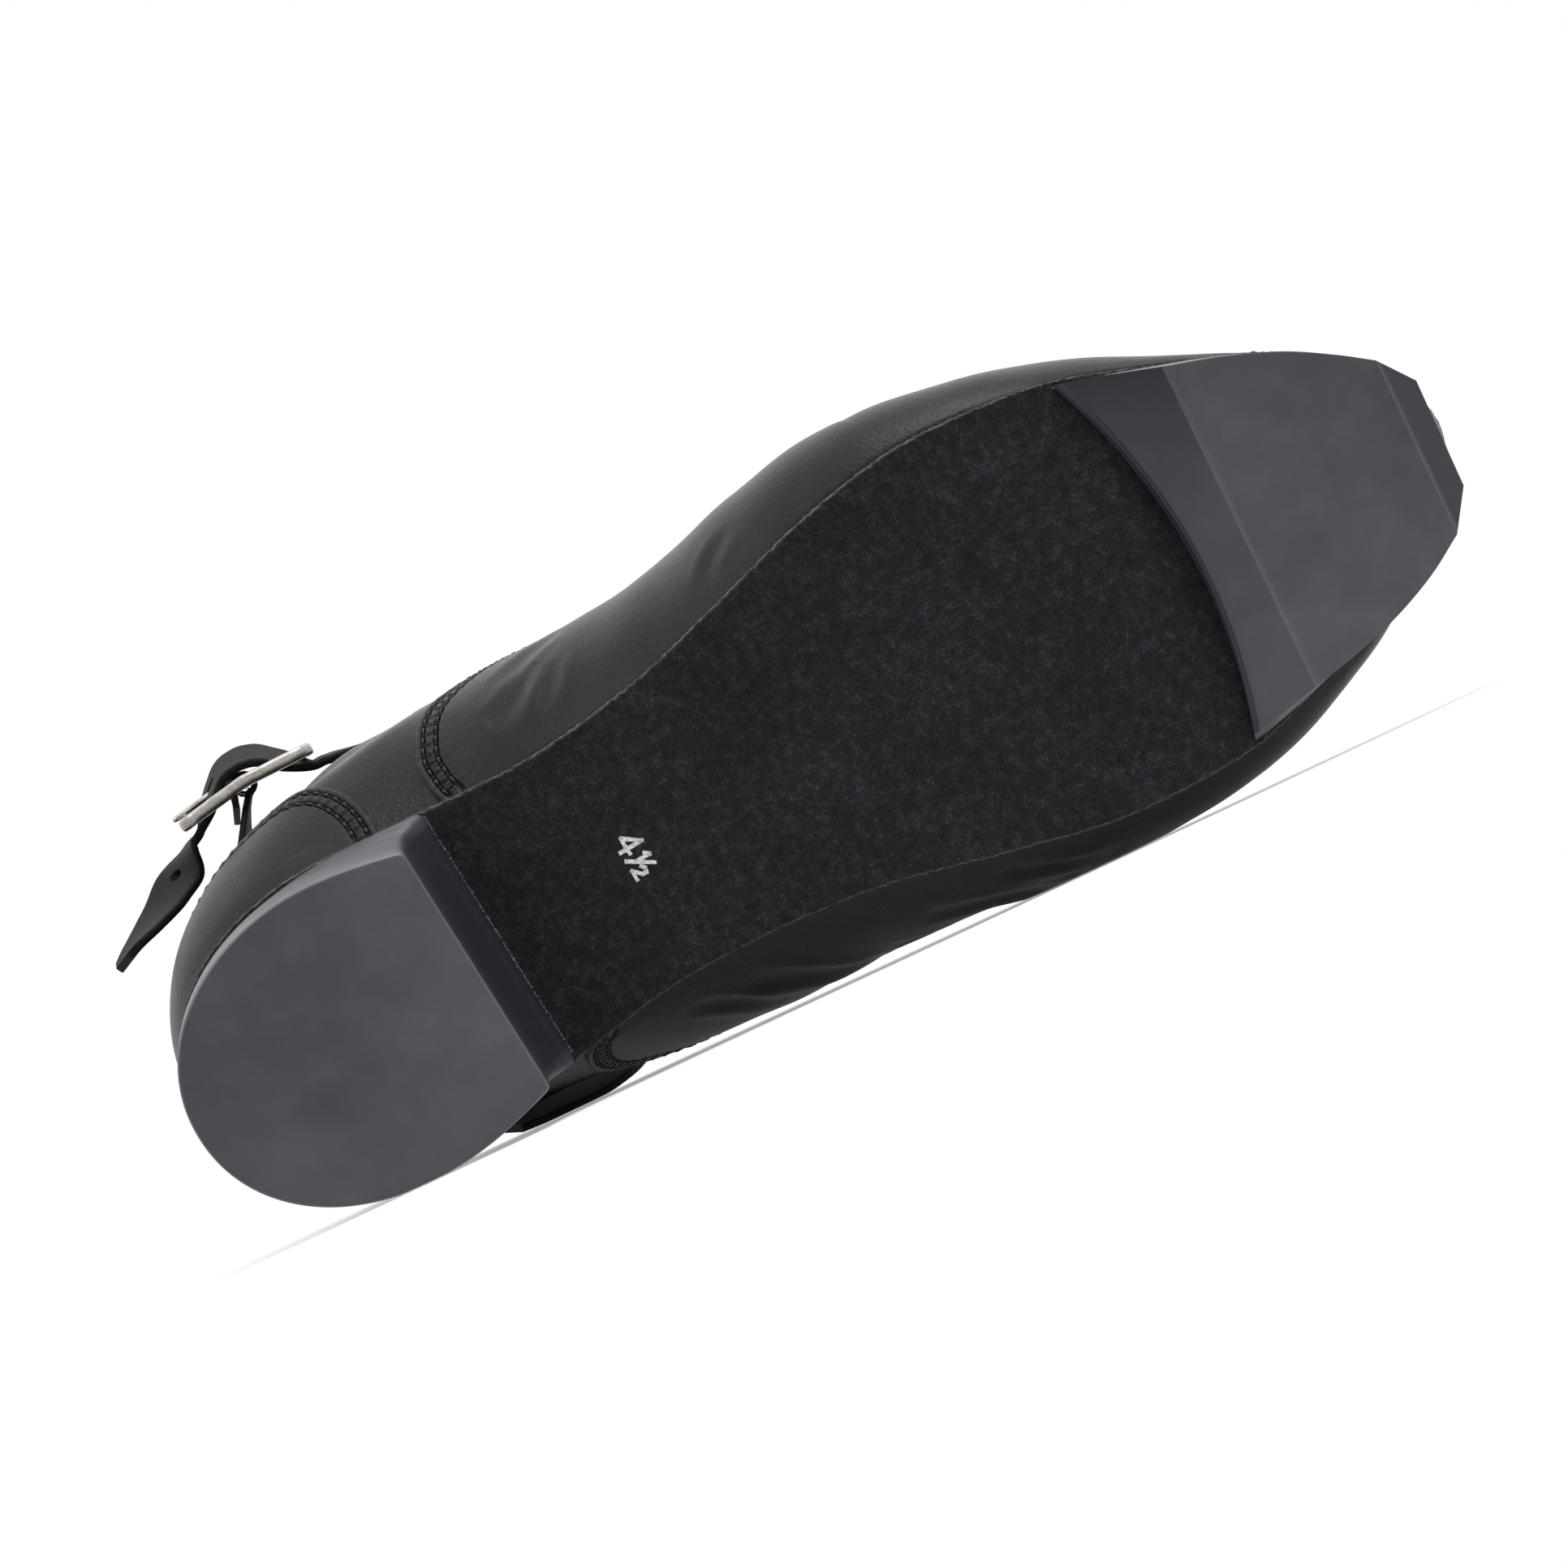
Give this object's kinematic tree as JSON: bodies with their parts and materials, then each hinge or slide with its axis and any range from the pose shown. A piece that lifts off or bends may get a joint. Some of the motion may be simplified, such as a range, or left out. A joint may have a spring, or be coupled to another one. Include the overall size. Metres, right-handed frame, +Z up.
{
  "type": "irish hard shoe",
  "caption": "Black leather irish dance hard shoe for the right foot, with suede sole, moulded toe tip and heel, lacing and a buckled ankle strap, lying on its side.",
  "frame": {"origin": "on the surface that the shoe lies on, under the middle of its box", "axes": "+X from heel to toe, +Z up, away from the surface, towards the shoe's lateral side; the sole faces -Y"},
  "size_m": [0.257, 0.1204, 0.0896],
  "materials": {
    "black_leather": "fine grain, satin",
    "black_suede": "napped, matte",
    "insole_leather": "smooth board, matte",
    "black_fibreglass": "moulded, semi-matte with light scuffs",
    "black_cord": "woven, matte",
    "antique_nickel": "antique nickel, satin"
  },
  "bodies": {
    "root": {"upper": "black_leather", "outsole": "black_suede", "insole": "insole_leather", "toe_tip": "black_fibreglass", "heel": "black_fibreglass", "tongue": "black_leather", "lace_bar_1": "black_cord", "lace_bar_2": "black_cord", "lace_bar_3": "black_cord", "lace_bar_4": "black_cord", "lace_bar_5": "black_cord", "ankle_strap": "black_leather", "buckle_tab": "black_leather", "buckle_frame": "antique_nickel", "buckle_prong": "antique_nickel"}
  },
  "joints": []
}
